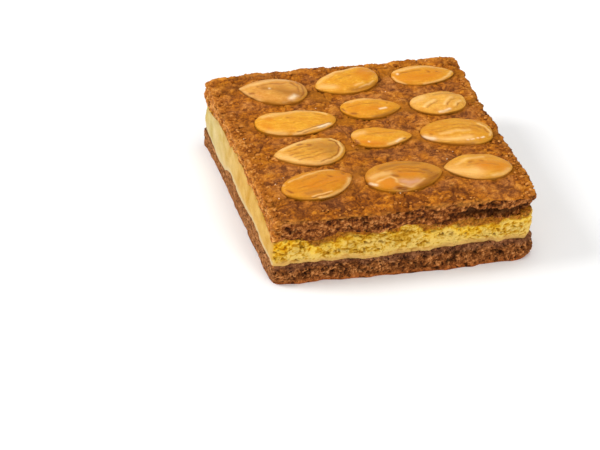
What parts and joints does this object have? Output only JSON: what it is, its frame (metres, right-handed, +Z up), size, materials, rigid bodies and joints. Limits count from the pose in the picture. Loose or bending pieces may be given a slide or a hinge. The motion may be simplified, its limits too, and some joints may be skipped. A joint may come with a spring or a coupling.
{
  "type": "filled speculaas",
  "caption": "Square of spiced biscuit filled with almond paste, cut from a baked sheet and topped with rows of whole almonds.",
  "frame": {"origin": "middle of the bounding box's bottom, on the surface that the square rests on", "axes": "+Z up, +X along the crumbly front side, +Y from the front side to the back; the smooth cut side faces -X"},
  "size_m": [0.0812, 0.0854, 0.0246],
  "materials": {
    "top_dough": "baked spiced biscuit dough, medium brown, crumbly, slightly glazed skin",
    "bottom_dough": "baked spiced biscuit dough, darker brown, dry crumb",
    "almond_paste": "baked almond paste, moist yellow crumb, smooth where the knife went",
    "almond": "blanched almond, golden from the oven, glossy egg glaze"
  },
  "bodies": {
    "root": {"bottom_crust": "bottom_dough", "filling": "almond_paste", "top_crust": "top_dough", "almond_01": "almond", "almond_02": "almond", "almond_03": "almond", "almond_04": "almond", "almond_05": "almond", "almond_06": "almond", "almond_07": "almond", "almond_08": "almond", "almond_09": "almond", "almond_10": "almond", "almond_11": "almond", "almond_12": "almond"}
  },
  "joints": []
}
